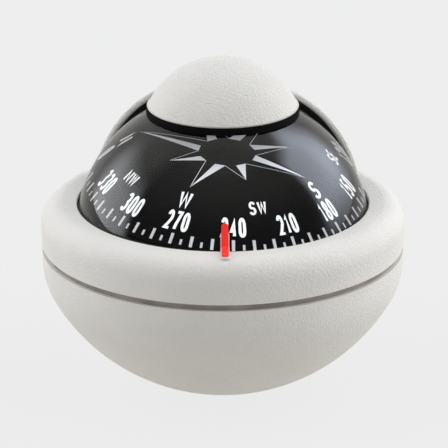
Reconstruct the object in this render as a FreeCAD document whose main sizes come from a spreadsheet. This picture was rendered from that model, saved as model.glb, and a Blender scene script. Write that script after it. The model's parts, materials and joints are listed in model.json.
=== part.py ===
"""Liquid-filled marine steering compass with a turning sun shade.

The compass stands on a small rubber foot.  Z points up and is the axis of the bowl, the dome and
the shade; the helmsman looks from -Y.  The origin is the centre of the foot, on the surface that
it stands on.  Everything inside the capsule turns about one point, the centre of the dome.
All sizes are millimetres.
"""
import FreeCAD
import Part
import Sketcher
import math
import os

SIZES = [
    # case
    ("dome_centre", 35.5, "height of the centre of the dome above the foot"),
    ("bowl_radius", 43.9, "widest radius of the bowl"),
    ("bowl_belly", 5.0, "depth of the widest part below the dome centre"),
    ("bowl_sphere", 47.5, "radius of the round underside"),
    ("bowl_sphere_rise", 9.5, "centre of the round underside above the dome centre"),
    ("bowl_wall", 2.2, "bowl wall"),
    ("bowl_base", 0.5, "gap from the ground to the bowl's rim round the foot"),
    ("bowl_floor", 3.0, "height of the inner floor of the bowl"),
    ("seam_depth", 1.9, "top of the bowl below the dome centre"),
    ("seam_width", 1.6, "height of the seam between bowl and bezel"),
    ("gasket_radius", 43.0, "outer radius of the seam gasket, recessed in the seam"),
    ("shelf_height", 31.8, "height of the shelf that carries the capsule"),
    ("shelf_radius", 38.2, "inner radius of that shelf"),
    # bezel
    ("bezel_radius", 44.0, "outer radius of the bezel"),
    ("bezel_crest", 9.6, "crest of the bezel above the dome centre"),
    ("bezel_round", 5.0, "outer rounding of the bezel"),
    ("lip_radius", 35.3, "radius of the bezel's opening"),
    ("lip_rise", 9.35, "top of the lip above the dome centre"),
    ("skirt_inner", 39.9, "inner radius of the bezel skirt"),
    ("skirt_outer", 41.5, "outer radius of the bezel skirt"),
    ("ceiling", 6.1, "roof of the screw channel in the bezel above the dome centre"),
    # capsule
    ("dome_radius", 36.0, "outer radius of the clear dome"),
    ("dome_wall", 1.2, "dome wall"),
    ("capsule_radius", 36.2, "outer radius of the liquid housing"),
    ("capsule_floor", 24.0, "underside of the housing below the dome centre"),
    ("capsule_floor_wall", 2.0, "thickness of the housing's floor"),
    ("flange_radius", 39.6, "outer radius of the clamped flanges"),
    ("flange_top", 1.8, "top of the housing flange above the dome centre"),
    ("flange_gap", 0.2, "gap that the seal closes between the flanges"),
    ("dome_flange", 1.6, "thickness of the dome flange"),
    ("clamp_ring", 1.1, "thickness of the clamping ring"),
    ("capsule_screw_circle", 38.2, "radius of the circle of clamping screws"),
    ("diaphragm_opening", 12.0, "radius of the opening over the diaphragm"),
    ("diaphragm_screw_circle", 14.6, "radius of the circle of diaphragm screws"),
    ("fill_plug_offset", 21.0, "fill plug in front of the axis"),
    # gimbals and card
    ("ring_inner", 32.2, "inner radius of the gimbal ring"),
    ("ring_outer", 34.1, "outer radius of the gimbal ring"),
    ("ring_half", 1.5, "half the height of the gimbal rings"),
    ("cradle_outer", 31.2, "outer radius of the cradle ring"),
    ("cradle_inner", 28.5, "inner radius of the cradle ring"),
    ("pin_radius", 0.9, "radius of the gimbal pins"),
    ("post_radius", 1.5, "radius of the pivot post"),
    ("post_foot", 15.0, "foot of the pivot post below the dome centre"),
    ("hub_disc", 5.0, "radius of the cradle's hub"),
    ("window_circle", 17.0, "radius of the circle of the cradle's windows"),
    ("window_radius", 6.5, "radius of the cradle's windows"),
    ("ballast_radius", 12.0, "radius of the ballast weight"),
    ("running_gap", 0.05, "radial clearance of every running fit"),
    ("card_radius", 27.2, "radius of the card's rim"),
    ("card_foot", 5.4, "lower edge of the card above the dome centre"),
    ("card_top", 15.9, "flat rose of the card above the dome centre"),
    ("rose_radius", 17.3, "radius where the rose would meet the skirt at a sharp edge"),
    ("card_bend", 1.5, "outer radius of the bend between rose and skirt"),
    ("card_wall", 0.8, "thickness of the card"),
    ("float_radius", 13.0, "radius of the card's float"),
    ("float_base", 7.2, "underside of the float above the dome centre"),
    ("stem_radius", 2.2, "radius of the jewel's holder"),
    ("jewel_radius", 1.43, "radius of the jewel"),
    ("tip_height", 3.4, "tip of the pivot post above the dome centre"),
    ("heading", 243.7, "heading under the lubber line, degrees"),
    ("card_heel", 3.5, "heel of the card, whose south end the earth's field draws down, degrees"),
    # lubber pointer
    ("post_width", 2.05, "width of the white rib that carries the lubber line"),
    ("post_top", 13.5, "tip of the white rib above the dome centre"),
    ("post_reach", 40.9, "radius where the white rib ends on the bezel"),
    ("post_wall", 0.5, "thickness of the white rib"),
    ("post_gap", 0.06, "gap between the white rib and the dome"),
    ("stripe_width", 1.6, "width of the red lubber line"),
    ("stripe_top", 15.3, "tip of the red lubber line above the dome centre"),
    ("stripe_reach", 40.5, "radius where the red lubber line ends on the bezel"),
    ("stripe_wall", 0.42, "thickness of the red lubber line"),
    ("seat", 0.04, "adhesive under the lubber line's foot"),
    # shade
    ("shade_radius", 39.05, "outer radius of the shade"),
    ("shade_wall", 1.55, "wall of the shade"),
    ("shade_half_angle", 62.0, "half the angle that the shade spans, degrees"),
    ("shade_foot", 10.8, "lower edge of the shade above the dome centre"),
    ("shade_border", 1.2, "height of the shade's bare border under the liner"),
    ("shade_lead", 3.2, "angle of the shade's two bare borders beside the liner, degrees"),
    ("shade_turn", 3.5, "how far the shade is turned to the right at rest, degrees"),
    ("liner_wall", 0.5, "thickness of the black liner"),
    ("cap_sphere", 19.8, "radius of the round cap"),
    ("cap_centre", 24.8, "centre of the cap's sphere above the dome centre"),
    ("cap_rim", 18.1, "radius of the cap's rim"),
    ("cap_wall", 1.2, "wall of the cap"),
    ("cap_base", 8.0, "lower edge of the cap above the centre of its sphere"),
    ("wiper_inner", 36.2, "radius of the wiper's underside, which follows the dome"),
    ("wiper_bore", 17.0, "inner radius of the wiper ring under the cap's rim"),
    ("wiper_radius", 18.3, "outer radius of the wiper ring"),
    ("wiper_lip", 0.35, "how far the wiper's outer top edge is under the cap's lower edge"),
    ("hub_inner", 36.9, "radius of the hub's underside, which follows the dome"),
    ("hub_wall", 0.55, "thickness of the hub's disc"),
    ("hub_radius", 15.9, "radius of the hub's disc"),
    ("stud_radius", 3.0, "radius of the stud that the shade turns on"),
    ("stud_top", 41.1, "top of the stud above the dome centre"),
    ("boss_radius", 6.5, "radius of the hub's boss round the stud"),
    ("boss_top", 40.6, "top of the hub's boss above the dome centre"),
    ("hub_base", 36.75, "underside of the hub's boss above the dome centre"),
    ("hood_screw_circle", 9.5, "radius of the circle of the hood's screws"),
    # foot, lamp and compensator
    ("pad_radius", 14.0, "radius of the rubber foot"),
    ("pad_height", 1.6, "thickness of the rubber foot"),
    ("insert_bore", 2.5, "radius of the threaded insert's bore"),
    ("insert_radius", 3.5, "outer radius of the threaded insert"),
    ("gland_offset", 9.5, "lamp lead grommet to the left of the axis"),
    ("gland_radius", 2.5, "radius of the grommet's hole in the bowl"),
    ("port_radius", 1.5, "radius of the bowl's holes to the compensator shafts"),
    ("pad_recess", 0.5, "how far the rubber foot stands out of its recess"),
    ("shaft_radius", 0.9, "radius of the compensator shafts"),
    ("shaft_offset", 8.5, "compensator shafts off the axis"),
    ("low_shaft", 5.4, "height of the athwartships shaft"),
    ("high_shaft", 7.7, "height of the fore-and-aft shaft"),
]

X_AXIS = FreeCAD.Vector(1, 0, 0)
Y_AXIS = FreeCAD.Vector(0, 1, 0)
Z_AXIS = FreeCAD.Vector(0, 0, 1)
UPRIGHT = FreeCAD.Rotation()
TURNS = {
    "z": UPRIGHT,
    "x": FreeCAD.Rotation(Y_AXIS, 90),
    "y": FreeCAD.Rotation(X_AXIS, -90),
}

doc = FreeCAD.newDocument("compass")
sheet = doc.addObject("Spreadsheet::Sheet", "Sizes")
parts = []


class Size:
    """A length with the spreadsheet expression that gives it."""

    def __init__(self, value, text):
        self.value = value
        self.text = text

    def __add__(self, other):
        other = as_size(other)
        return Size(self.value + other.value, f"({self.text} + {other.text})")

    def __sub__(self, other):
        other = as_size(other)
        return Size(self.value - other.value, f"({self.text} - {other.text})")

    def __mul__(self, other):
        other = as_size(other)
        return Size(self.value * other.value, f"({self.text} * {other.text})")

    def __truediv__(self, other):
        other = as_size(other)
        return Size(self.value / other.value, f"({self.text} / {other.text})")

    def __rsub__(self, other):
        return as_size(other) - self

    def __neg__(self):
        return Size(-self.value, f"(-{self.text})")


def as_size(number):
    return number if isinstance(number, Size) else Size(float(number), f"{float(number):.6g}")


def fill_sheet():
    sizes = {}
    for row, (alias, value, note) in enumerate(SIZES, start=1):
        sheet.set(f"A{row}", alias)
        sheet.set(f"B{row}", str(value))
        sheet.set(f"C{row}", note)
        sheet.setAlias(f"B{row}", alias)
        sizes[alias] = Size(value, f"Sizes.{alias}")
    doc.recompute()
    return sizes


S = fill_sheet()
CENTRE = S["dome_centre"]


def height(above):
    """Height above the foot of a point given above the dome centre."""
    return CENTRE + above


def leg(hypotenuse, other):
    """The second leg of a right triangle, as on a circle of that radius."""
    hypotenuse = as_size(hypotenuse)
    other = as_size(other)
    value = math.sqrt(hypotenuse.value**2 - other.value**2)
    return Size(value, f"sqrt({hypotenuse.text}^2 - {other.text}^2)")


def around(radius, angle):
    """X and Y of a point on a circle, the angle counted from +X in degrees."""
    radius = as_size(radius)
    cosine = math.cos(math.radians(angle))
    sine = math.sin(math.radians(angle))
    return (
        Size(radius.value * cosine, f"({radius.text} * cos({angle} deg))"),
        Size(radius.value * sine, f"({radius.text} * sin({angle} deg))"),
    )


def bind(thing, **sizes):
    for name, size in sizes.items():
        thing.setExpression(name, as_size(size).text)


def place(thing, at, rotation=UPRIGHT):
    where = [as_size(value) for value in at]
    thing.Placement = FreeCAD.Placement(FreeCAD.Vector(*(w.value for w in where)), rotation)
    for name, size in zip("xyz", where):
        thing.setExpression(f".Placement.Base.{name}", size.text)


def turn_at_rest(thing):
    """Turns a finished piece of the shade to where the shade rests."""
    place(thing, (0, 0, 0), FreeCAD.Rotation(Z_AXIS, -S["shade_turn"].value))


def heel(thing):
    """Heels a finished piece of the card about the tip of the pivot post, down on the right."""
    tip = height(S["tip_height"])
    rise, drift = around(tip, S["card_heel"].value)
    place(thing, (-drift, 0, tip - rise), FreeCAD.Rotation(Y_AXIS, S["card_heel"].value))


def keep(thing, label):
    """Marks an object as a finished piece of the compass."""
    thing.Label = label
    parts.append(thing)
    return thing


def cylinder(name, radius, length, at=(0, 0, 0), axis="z"):
    rod = doc.addObject("Part::Cylinder", name)
    bind(rod, Radius=radius, Height=length)
    place(rod, at, TURNS[axis])
    return rod


def box(name, size, at):
    block = doc.addObject("Part::Box", name)
    bind(block, Length=size[0], Width=size[1], Height=size[2])
    place(block, at)
    return block


def fused(name, members):
    union = doc.addObject("Part::MultiFuse", name)
    union.Shapes = members
    return union


def cut(name, base, tools):
    result = doc.addObject("Part::Cut", name)
    result.Base = base
    result.Tool = tools[0] if len(tools) == 1 else fused(name + "_tools", tools)
    return result


def group(label, members):
    compound = doc.addObject("Part::Compound", label)
    compound.Links = members
    return keep(compound, label)


def origin_plane(body, role):
    for feature in body.Origin.OriginFeatures:
        if feature.Role == role:
            return feature
    raise ValueError(role)


def arc_between(start, end, radius, side):
    """The arc from start to end, its centre to the left or right of the way along it."""
    chord = end - start
    half = chord.Length / 2
    normal = FreeCAD.Vector(-chord.y, chord.x, 0).normalize()
    reach = math.sqrt(max(radius**2 - half**2, 0.0))
    sign = 1 if side == "left" else -1
    centre = (start + end) * 0.5 + normal * (sign * reach)
    first, last = (start, end) if side == "left" else (end, start)
    angles = [math.atan2(p.y - centre.y, p.x - centre.x) for p in (first, last)]
    return Part.ArcOfCircle(Part.Circle(centre, Z_AXIS, radius), angles[0], angles[1])


def draw(sketch, outline):
    """Draws a closed outline.

    Each corner is (x, y), reached by a straight line, or (x, y, radius, side), reached by an arc.
    Every corner and radius is constrained to its expression.
    """
    corners = [(as_size(c[0]), as_size(c[1])) + tuple(c[2:]) for c in outline]
    points = [FreeCAD.Vector(c[0].value, c[1].value, 0) for c in corners]
    edges = []
    for index, corner in enumerate(corners):
        start = points[index - 1]
        end = points[index]
        if len(corner) == 2:
            edges.append((sketch.addGeometry(Part.LineSegment(start, end)), 1, 2, None))
            continue
        radius = as_size(corner[2])
        arc = arc_between(start, end, radius.value, corner[3])
        first, last = (1, 2) if corner[3] == "left" else (2, 1)
        edges.append((sketch.addGeometry(arc), first, last, radius))
    for index, (edge, _, last, radius) in enumerate(edges):
        following = edges[(index + 1) % len(edges)]
        sketch.addConstraint(Sketcher.Constraint("Coincident", edge, last, following[0], following[1]))
        if radius is not None:
            number = sketch.addConstraint(Sketcher.Constraint("Radius", edge, radius.value))
            sketch.setExpression(f"Constraints[{number}]", radius.text)
        for kind, axis, size in (("DistanceX", -2, corners[index][0]), ("DistanceY", -1, corners[index][1])):
            if abs(size.value) < 1e-9:
                sketch.addConstraint(Sketcher.Constraint("PointOnObject", edge, last, axis))
                continue
            number = sketch.addConstraint(Sketcher.Constraint(kind, -1, 1, edge, last, size.value))
            sketch.setExpression(f"Constraints[{number}]", size.text)


def outline_body(name, plane, outline):
    body = doc.addObject("PartDesign::Body", name)
    sketch = body.newObject("Sketcher::SketchObject", name + "_outline")
    sketch.AttachmentSupport = [(origin_plane(body, plane), "")]
    sketch.MapMode = "FlatFace"
    draw(sketch, outline)
    return body, sketch


def turned(name, outline, angle=None):
    """A piece turned about Z.  A part turn is centred on the +Y side."""
    plane = "XZ_Plane" if angle is None else "YZ_Plane"
    body, sketch = outline_body(name, plane, outline)
    turn = body.newObject("PartDesign::Revolution", name + "_turn")
    turn.Profile = sketch
    turn.ReferenceAxis = (sketch, ["V_Axis"])
    if angle is not None:
        turn.Midplane = True
        turn.setExpression("Angle", as_size(angle).text)
    body.Tip = turn
    return body


def pad_across(name, outline, width):
    """An outline in the YZ plane, padded equally to both sides of it."""
    body, sketch = outline_body(name, "YZ_Plane", outline)
    pad = body.newObject("PartDesign::Pad", name + "_pad")
    pad.Profile = sketch
    pad.Midplane = True
    pad.setExpression("Length", as_size(width).text)
    body.Tip = pad
    return body


def round_corners(body, radius, chosen):
    """Fillets the edges of a body's tip that the test picks."""
    doc.recompute()
    base = body.Tip
    names = [f"Edge{n}" for n, edge in enumerate(base.Shape.Edges, start=1) if chosen(edge)]
    fillet = body.newObject("PartDesign::Fillet", body.Name + "_fillet")
    fillet.Base = (base, names)
    fillet.setExpression("Radius", as_size(radius).text)
    body.Tip = fillet


def ring_outline(inner, outer, bottom, top):
    return [(inner, bottom), (outer, bottom), (outer, top), (inner, top)]


def screw(name, at, shank, head, facing=1):
    """A pan-head screw: at is the middle of the face under its head, facing 1 with the head up."""
    shank_radius, shank_length = shank
    head_radius, head_height = head
    x, y, z = at
    low_shank = as_size(z) - shank_length if facing > 0 else z
    low_head = z if facing > 0 else as_size(z) - head_height
    return fused(name, [
        cylinder(name + "_shank", shank_radius, shank_length, (x, y, low_shank)),
        cylinder(name + "_head", head_radius, head_height, (x, y, low_head)),
    ])


# ---- case -------------------------------------------------------------------------------------

BOWL_TOP = height(-S["seam_depth"])
BEZEL_BASE = BOWL_TOP + S["seam_width"]
BELLY = height(-S["bowl_belly"])
SPHERE_Z = height(S["bowl_sphere_rise"])
BOWL_INNER = S["bowl_radius"] - S["bowl_wall"]
FLANGE_TOP = height(S["flange_top"])
DOME_FLANGE = FLANGE_TOP + S["flange_gap"]
CLAMP_BASE = DOME_FLANGE + S["dome_flange"]
CLAMP_TOP = CLAMP_BASE + S["clamp_ring"]
SIX_SCREWS = range(30, 390, 60)
FOUR_SCREWS = range(0, 360, 90)
SNUG = 0.02
POLE_FLAT = 0.3


def shoulder():
    """Radius and centre of the upper arc of the bowl, tangent to the round underside inside it."""
    rise = SPHERE_Z - BELLY
    sphere_radius = S["bowl_sphere"]
    widest = S["bowl_radius"]
    radius = (sphere_radius * sphere_radius - rise * rise - widest * widest) / (
        (sphere_radius - widest) * 2
    )
    return radius, widest - radius, rise


def bowl_tangent(radius):
    """The point where the two arcs of the bowl meet, on a surface of that underside radius."""
    arc, across, rise = shoulder()
    share = radius / (S["bowl_sphere"] - arc)
    return across * share, SPHERE_Z - rise * share


def make_bowl():
    arc = shoulder()[0]
    inner_sphere = S["bowl_sphere"] - S["bowl_wall"]
    outer_tangent = bowl_tangent(S["bowl_sphere"])
    inner_tangent = bowl_tangent(inner_sphere)
    recess = S["bowl_base"] + S["pad_height"] - S["pad_recess"]
    groove = (S["shelf_height"] + 0.4, S["shelf_height"] + 1.3)
    groove_depth = 0.5
    boss = S["insert_radius"] + 2.0
    boss_height = 4.0
    seat = S["pad_radius"] + 0.1
    blank = turned("bowl_blank", [
        (leg(S["bowl_sphere"], SPHERE_Z - S["bowl_base"]), S["bowl_base"]),
        (*outer_tangent, S["bowl_sphere"], "left"),
        (S["bowl_radius"], BELLY, arc, "left"),
        (S["bowl_radius"], BOWL_TOP),
        (BOWL_INNER, BOWL_TOP),
        (BOWL_INNER, groove[1]),
        (BOWL_INNER + groove_depth, groove[1]),
        (BOWL_INNER + groove_depth, groove[0]),
        (BOWL_INNER, groove[0]),
        (BOWL_INNER, S["shelf_height"]),
        (S["shelf_radius"], S["shelf_height"]),
        (S["shelf_radius"], BELLY),
        (BOWL_INNER, BELLY),
        (*inner_tangent, arc - S["bowl_wall"], "right"),
        (leg(inner_sphere, SPHERE_Z - S["bowl_floor"]), S["bowl_floor"], inner_sphere, "right"),
        (boss, S["bowl_floor"]),
        (boss, S["bowl_floor"] + boss_height),
        (S["insert_radius"], S["bowl_floor"] + boss_height),
        (S["insert_radius"], recess),
        (seat, recess),
        (seat, S["bowl_base"]),
    ])
    off = S["shaft_offset"]
    port = S["port_radius"]
    reach = S["bowl_radius"]
    holes = [
        cylinder("bowl_gland_hole", S["gland_radius"], S["bowl_floor"] + 2, (-S["gland_offset"], 0, 0)),
        cylinder("bowl_port_hole", port, reach * 2, (-reach, off, S["low_shaft"]), "x"),
        cylinder("bowl_aft_hole", port, reach, (off, 18.0, S["high_shaft"]), "y"),
    ]
    keep(cut("bowl_shell", blank, holes), "bowl_shell")


def make_foot():
    pad = turned("pad_blank", ring_outline(S["insert_radius"] + 0.1, S["pad_radius"], 0, S["pad_height"]))
    hole = cylinder("pad_hole", 3.2, S["pad_height"] * 2, (-S["gland_offset"], 0, 0))
    keep(cut("foot_pad", pad, [hole]), "foot_pad")
    keep(turned("mount_insert", ring_outline(
        S["insert_bore"], S["insert_radius"] - SNUG, S["bowl_base"], S["bowl_floor"] + 3.8)), "mount_insert")
    floor = S["bowl_floor"]
    ceiling = S["pad_height"]
    base = S["bowl_base"]
    bore = 1.3
    waist = S["gland_radius"] - SNUG
    flange = S["gland_radius"] + 0.6
    grommet = turned("lead_grommet", [
        (bore, base),
        (flange, base),
        (flange, ceiling),
        (waist, ceiling),
        (waist, floor),
        (flange, floor),
        (flange - 0.5, floor + 1.0),
        (bore, floor + 1.0),
    ])
    place(grommet, (-S["gland_offset"], 0, 0))
    keep(grommet, "lead_grommet")


def make_bezel():
    skirt_base = S["shelf_height"] + 0.3
    crest = height(S["bezel_crest"])
    lip = height(S["lip_rise"])
    ceiling = height(S["ceiling"])
    barb = S["skirt_outer"] + 0.45
    undercut = S["lip_radius"] + 1.6
    lip_round = 0.35
    blank = turned("bezel_blank", [
        (S["skirt_inner"], skirt_base),
        (S["skirt_outer"], skirt_base),
        (barb, skirt_base + 0.3),
        (barb, skirt_base + 0.6),
        (S["skirt_outer"], skirt_base + 0.9),
        (S["skirt_outer"], BEZEL_BASE),
        (S["bezel_radius"], BEZEL_BASE),
        (S["bezel_radius"], crest - S["bezel_round"]),
        (S["bezel_radius"] - S["bezel_round"], crest, S["bezel_round"], "left"),
        (S["lip_radius"] + lip_round, lip),
        (S["lip_radius"], lip - lip_round, lip_round, "left"),
        (S["lip_radius"], lip - lip_round - 0.4),
        (undercut, ceiling + 0.8),
        (undercut, ceiling),
        (S["skirt_inner"], ceiling),
    ])
    pocket = box("bezel_pocket", (6, 4.2, 2.0), (-3, -(S["skirt_inner"] - 0.1), ceiling - 0.1))
    keep(cut("bezel_ring", blank, [pocket]), "bezel_ring")


def make_seam_gasket():
    outline = ring_outline(S["skirt_outer"] + SNUG, S["gasket_radius"], BOWL_TOP, BEZEL_BASE)
    keep(turned("seam_gasket", outline), "seam_gasket")


def make_lamp():
    wide, deep, tall = 5.4, 2.0, 1.6
    bulb_radius = 0.6
    bulb_length = 1.9
    seat_depth = 1.1
    front = S["skirt_inner"] - 0.4
    base = height(S["ceiling"]) + 0.1
    middle = base + tall / 2
    seat_end = front - deep + seat_depth
    holder = box("lamp_block", (wide, deep, tall), (-wide / 2, -front, base))
    seat = cylinder("lamp_seat", bulb_radius + SNUG, seat_depth + 0.1, (0, -seat_end, middle), "y")
    keep(cut("lamp_holder", holder, [seat]), "lamp_holder")
    bulb = cylinder("lamp_bulb", bulb_radius, bulb_length, (0, -(seat_end - 0.05), middle), "y")
    keep(bulb, "lamp_led")


# ---- capsule ----------------------------------------------------------------------------------

FLOOR_Z = height(-S["capsule_floor"])
FLOOR_TOP = FLOOR_Z + S["capsule_floor_wall"]
DOME_INNER = S["dome_radius"] - S["dome_wall"]
SEAL = (DOME_INNER + 0.8, DOME_INNER + 2.0)


def make_capsule_bowl():
    outer = S["capsule_radius"]
    under_flange = CENTRE - 0.5
    floor_depth = S["capsule_floor"]
    seal_seat = FLANGE_TOP - 0.6
    blank = turned("capsule_blank", [
        (S["diaphragm_opening"], FLOOR_Z),
        (leg(outer, floor_depth), FLOOR_Z),
        (leg(outer, 0.5), under_flange, outer, "left"),
        (S["flange_radius"] - 1.7, under_flange),
        (S["flange_radius"] - 1.7, S["shelf_height"]),
        (S["flange_radius"], S["shelf_height"]),
        (S["flange_radius"], FLANGE_TOP),
        (SEAL[1], FLANGE_TOP),
        (SEAL[1], seal_seat),
        (SEAL[0], seal_seat),
        (SEAL[0], FLANGE_TOP),
        (DOME_INNER, FLANGE_TOP),
        (DOME_INNER, CENTRE),
        (leg(DOME_INNER, floor_depth - S["capsule_floor_wall"]), FLOOR_TOP, DOME_INNER, "right"),
        (S["diaphragm_opening"], FLOOR_TOP),
    ])
    holes = []
    for angle in SIX_SCREWS:
        x, y = around(S["capsule_screw_circle"], angle)
        holes.append(cylinder(f"capsule_pilot_{angle}", 0.85, 3.0, (x, y, FLANGE_TOP - 2.6)))
    for angle in FOUR_SCREWS:
        x, y = around(S["diaphragm_screw_circle"], angle)
        holes.append(cylinder(f"diaphragm_pilot_{angle}", 0.75, 2.5, (x, y, FLOOR_Z - 1.0)))
    reach = DOME_INNER + 2.7
    holes.append(cylinder("pin_seat", S["pin_radius"] + SNUG, reach * 2, (-reach, 0, CENTRE), "x"))
    holes.append(cylinder("fill_hole", 2.0, 6.0, (0, -S["fill_plug_offset"], FLOOR_Z - 2.0)))
    keep(cut("capsule_bowl", blank, holes), "capsule_bowl")


def make_dome():
    radius = S["dome_radius"]
    flange_low = S["flange_top"] + S["flange_gap"]
    flange_high = flange_low + S["dome_flange"]
    blank = turned("dome_blank", [
        (leg(DOME_INNER, flange_low), DOME_FLANGE, DOME_INNER, "right"),
        (S["flange_radius"], DOME_FLANGE),
        (S["flange_radius"], CLAMP_BASE),
        (leg(radius, flange_high), CLAMP_BASE),
        (POLE_FLAT, height(leg(radius, POLE_FLAT)), radius, "left"),
        (0, height(leg(radius, POLE_FLAT))),
        (0, height(leg(DOME_INNER, POLE_FLAT))),
        (POLE_FLAT, height(leg(DOME_INNER, POLE_FLAT))),
    ])
    holes = screw_holes("dome", DOME_FLANGE, S["dome_flange"])
    keep(cut("dome", blank, holes), "dome")


def screw_holes(name, base, thickness):
    holes = []
    for angle in SIX_SCREWS:
        x, y = around(S["capsule_screw_circle"], angle)
        holes.append(cylinder(f"{name}_hole_{angle}", 1.0, as_size(thickness) + 2.0, (x, y, base - 1.0)))
    return holes


def make_clamping():
    seal = ring_outline(SEAL[0] + 0.1, SEAL[1] - 0.1, FLANGE_TOP - 0.6, DOME_FLANGE)
    keep(turned("dome_seal", seal), "dome_seal")
    clamp = ring_outline(S["dome_radius"] + 0.3, S["flange_radius"], CLAMP_BASE, CLAMP_TOP)
    holes = screw_holes("clamp", CLAMP_BASE, S["clamp_ring"])
    keep(cut("clamping_ring", turned("clamp_blank", clamp), holes), "clamping_ring")
    screws = []
    for angle in SIX_SCREWS:
        x, y = around(S["capsule_screw_circle"], angle)
        screws.append(screw(f"capsule_screw_{angle}", (x, y, CLAMP_TOP), (0.8, 5.2), (1.45, 1.1)))
    group("capsule_screws", screws)


def make_diaphragm():
    thickness = 0.6
    retainer = 1.6
    edge = S["diaphragm_screw_circle"] + 2.2
    discs = {
        "expansion_diaphragm": turned("diaphragm_blank", [
            (0, FLOOR_Z - thickness),
            (edge, FLOOR_Z - thickness),
            (edge, FLOOR_Z),
            (0, FLOOR_Z),
        ]),
        "diaphragm_retainer": turned("retainer_blank", ring_outline(
            S["diaphragm_opening"], edge, FLOOR_Z - (thickness + retainer), FLOOR_Z - thickness)),
    }
    for name, blank in discs.items():
        holes = []
        for angle in FOUR_SCREWS:
            x, y = around(S["diaphragm_screw_circle"], angle)
            holes.append(cylinder(f"{name}_hole_{angle}", 0.85, 6.0, (x, y, FLOOR_Z - 5.0)))
        keep(cut(name, blank, holes), name)
    screws = []
    for angle in FOUR_SCREWS:
        x, y = around(S["diaphragm_screw_circle"], angle)
        face = FLOOR_Z - (thickness + retainer)
        screws.append(screw(f"diaphragm_screw_{angle}", (x, y, face), (0.7, 3.5), (1.3, 0.9), -1))
    group("diaphragm_screws", screws)


def make_fill_plug():
    at = (0, -S["fill_plug_offset"], FLOOR_Z - 0.5)
    keep(screw("fill_plug", at, (2.0 - SNUG, 2.4), (3.2, 1.4), -1), "fill_plug")
    washer = turned("fill_plug_seal", ring_outline(2.0, 3.4, FLOOR_Z - 0.5, FLOOR_Z))
    place(washer, (0, -S["fill_plug_offset"], 0))
    keep(washer, "fill_plug_seal")


# ---- gimbals ----------------------------------------------------------------------------------

RING_LOW = height(-S["ring_half"])
RING_HIGH = height(S["ring_half"])


def make_gimbal_ring():
    pin = S["pin_radius"]
    blank = turned("ring_blank", ring_outline(S["ring_inner"], S["ring_outer"], RING_LOW, RING_HIGH))
    reach = S["ring_outer"] + 1.0
    holes = [
        cylinder("ring_bore", pin + S["running_gap"], reach * 2, (-reach, 0, CENTRE), "x"),
        cylinder("ring_seat", pin + SNUG, reach * 2, (0, -reach, CENTRE), "y"),
    ]
    keep(cut("gimbal_ring", blank, holes), "gimbal_ring")
    inner = S["ring_inner"] + 0.2
    outer = DOME_INNER + 2.6
    group("gimbal_pins", [
        cylinder("gimbal_pin_right", pin, outer - inner, (inner, 0, CENTRE), "x"),
        cylinder("gimbal_pin_left", pin, outer - inner, (-outer, 0, CENTRE), "x"),
    ])
    inner = S["cradle_inner"] + 0.5
    outer = S["ring_outer"] - 0.1
    group("cradle_pins", [
        cylinder("cradle_pin_aft", pin, outer - inner, (0, inner, CENTRE), "y"),
        cylinder("cradle_pin_fore", pin, outer - inner, (0, -outer, CENTRE), "y"),
    ])


def make_cradle():
    hub = S["hub_disc"]
    post = S["post_radius"]
    foot = height(-S["post_foot"])
    blank = turned("cradle_blank", [
        (post + SNUG, foot),
        (hub, foot),
        (hub, height(-13.0)),
        (S["cradle_outer"], RING_LOW),
        (S["cradle_outer"], RING_HIGH),
        (S["cradle_inner"], RING_HIGH),
        (S["cradle_inner"], height(-0.5)),
        (hub, height(-11.5)),
        (post + SNUG, height(-11.5)),
    ])
    tools = []
    for angle in range(45, 405, 90):
        x, y = around(S["window_circle"], angle)
        tools.append(cylinder(f"cradle_window_{angle}", S["window_radius"], 20.0, (x, y, foot)))
    reach = S["cradle_outer"] + 1.0
    bore = S["pin_radius"] + S["running_gap"]
    tools.append(cylinder("cradle_bore", bore, reach * 2, (0, -reach, CENTRE), "y"))
    keep(cut("cradle_frame", blank, tools), "cradle_frame")
    ballast = ring_outline(hub + SNUG, S["ballast_radius"], height(-17.0), height(-13.2))
    keep(turned("ballast_weight", ballast), "ballast_weight")
    keep(turned("pivot_post", [
        (0, foot),
        (post, foot),
        (post, height(-1.0)),
        (0.5, height(1.9)),
        (0.12, height(S["tip_height"])),
        (0, height(S["tip_height"])),
    ]), "pivot_post")


# ---- card -------------------------------------------------------------------------------------


def make_card():
    """A flat rose and a conical skirt at 45 degrees, a round bend between them, and an upright rim."""
    wall = S["card_wall"]
    rim = S["card_radius"]
    bend = S["card_bend"]
    bend_radius = S["rose_radius"] - bend * math.tan(math.radians(22.5))
    bend_height = S["card_top"] - bend
    outer = bend * math.sqrt(0.5)
    inner = (bend - wall) * math.sqrt(0.5)
    outer_drop = rim - bend_radius - outer
    inner_drop = rim - wall - bend_radius - inner
    card = turned("compass_card", [
        (rim - wall, height(S["card_foot"])),
        (rim, height(S["card_foot"])),
        (rim, height(bend_height + outer - outer_drop)),
        (bend_radius + outer, height(bend_height + outer)),
        (bend_radius, height(S["card_top"]), bend, "left"),
        (0, height(S["card_top"])),
        (0, height(S["card_top"] - wall)),
        (bend_radius, height(S["card_top"] - wall)),
        (bend_radius + inner, height(bend_height + inner), bend - wall, "right"),
        (rim - wall, height(bend_height + inner - inner_drop)),
    ])
    heel(keep(card, "compass_card"))


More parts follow.
